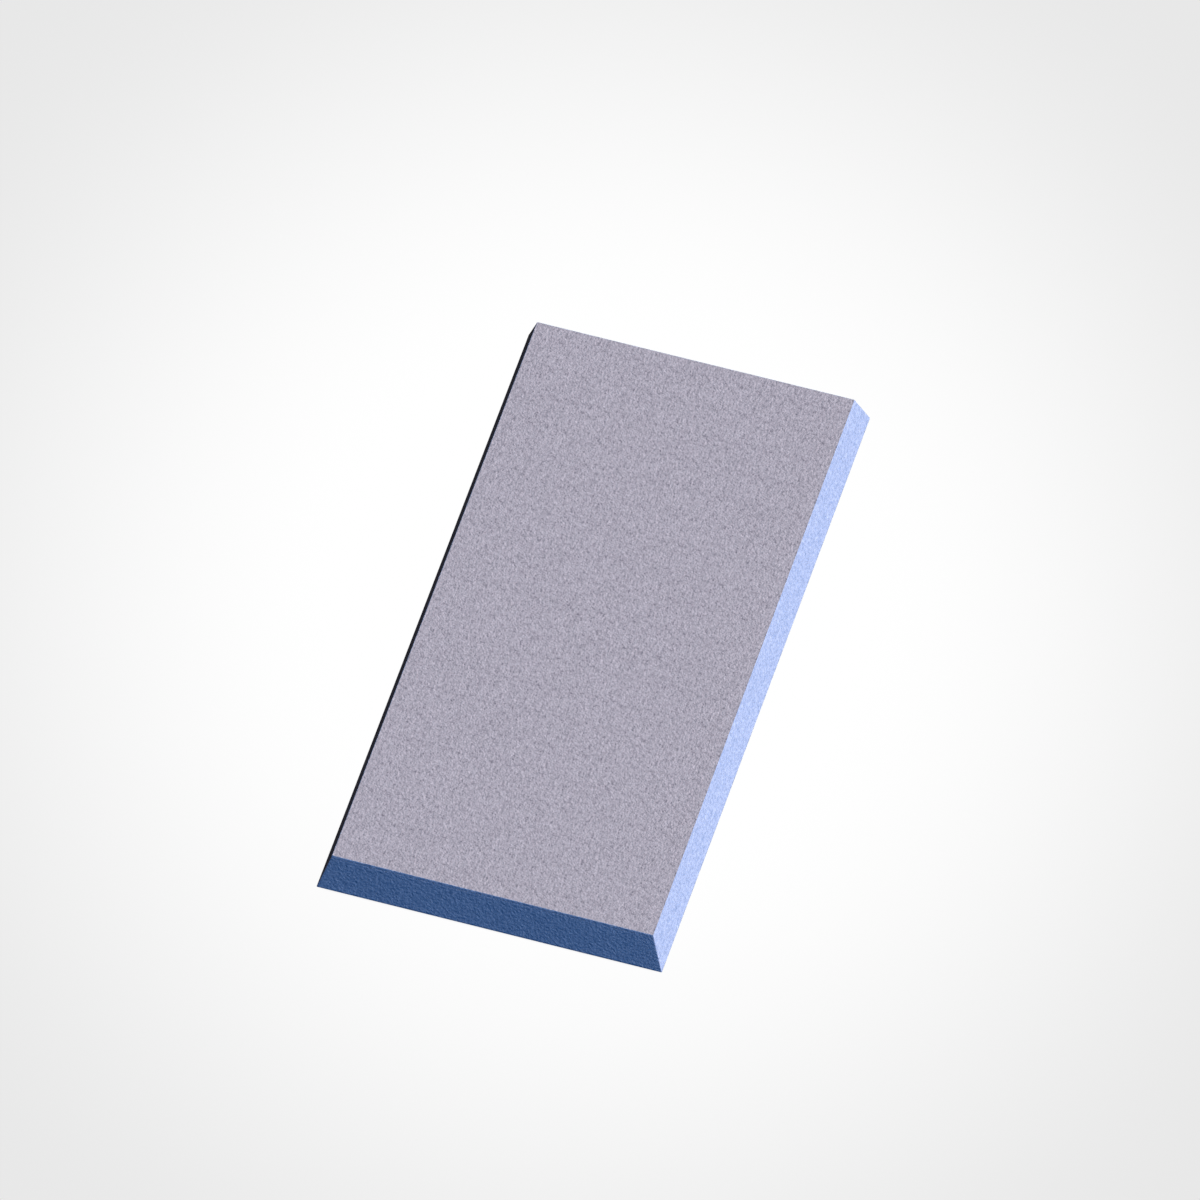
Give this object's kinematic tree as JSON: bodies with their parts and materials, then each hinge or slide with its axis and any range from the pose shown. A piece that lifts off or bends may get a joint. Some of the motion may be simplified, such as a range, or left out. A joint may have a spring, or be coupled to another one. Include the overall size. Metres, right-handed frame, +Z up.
{
  "type": "sharpening whetstone",
  "caption": "Flat bench whetstone: a grit-faced steel plate bonded to a moulded base with sloping sides, a ribbed underside and rubber feet.",
  "frame": {"origin": "middle of the footprint, on the surface that the feet stand on", "axes": "+Z up, out of the honing face; +Y along the stone's length, away from the user; +X to the right across its width"},
  "size_m": [0.075, 0.15, 0.0095],
  "materials": {
    "moulded_base": "blue moulded plastic with a fine, even grain texture",
    "honing_plate": "steel sheet faced all over with fine bonded grit, matt grey with a slight violet cast",
    "bonding_film": "pale translucent bonding film",
    "rubber_feet": "black rubber, matt"
  },
  "bodies": {
    "root": {"base": "moulded_base", "adhesive_film": "bonding_film", "abrasive_plate": "honing_plate", "foot_front_left": "rubber_feet", "foot_front_right": "rubber_feet", "foot_rear_left": "rubber_feet", "foot_rear_right": "rubber_feet"}
  },
  "joints": []
}
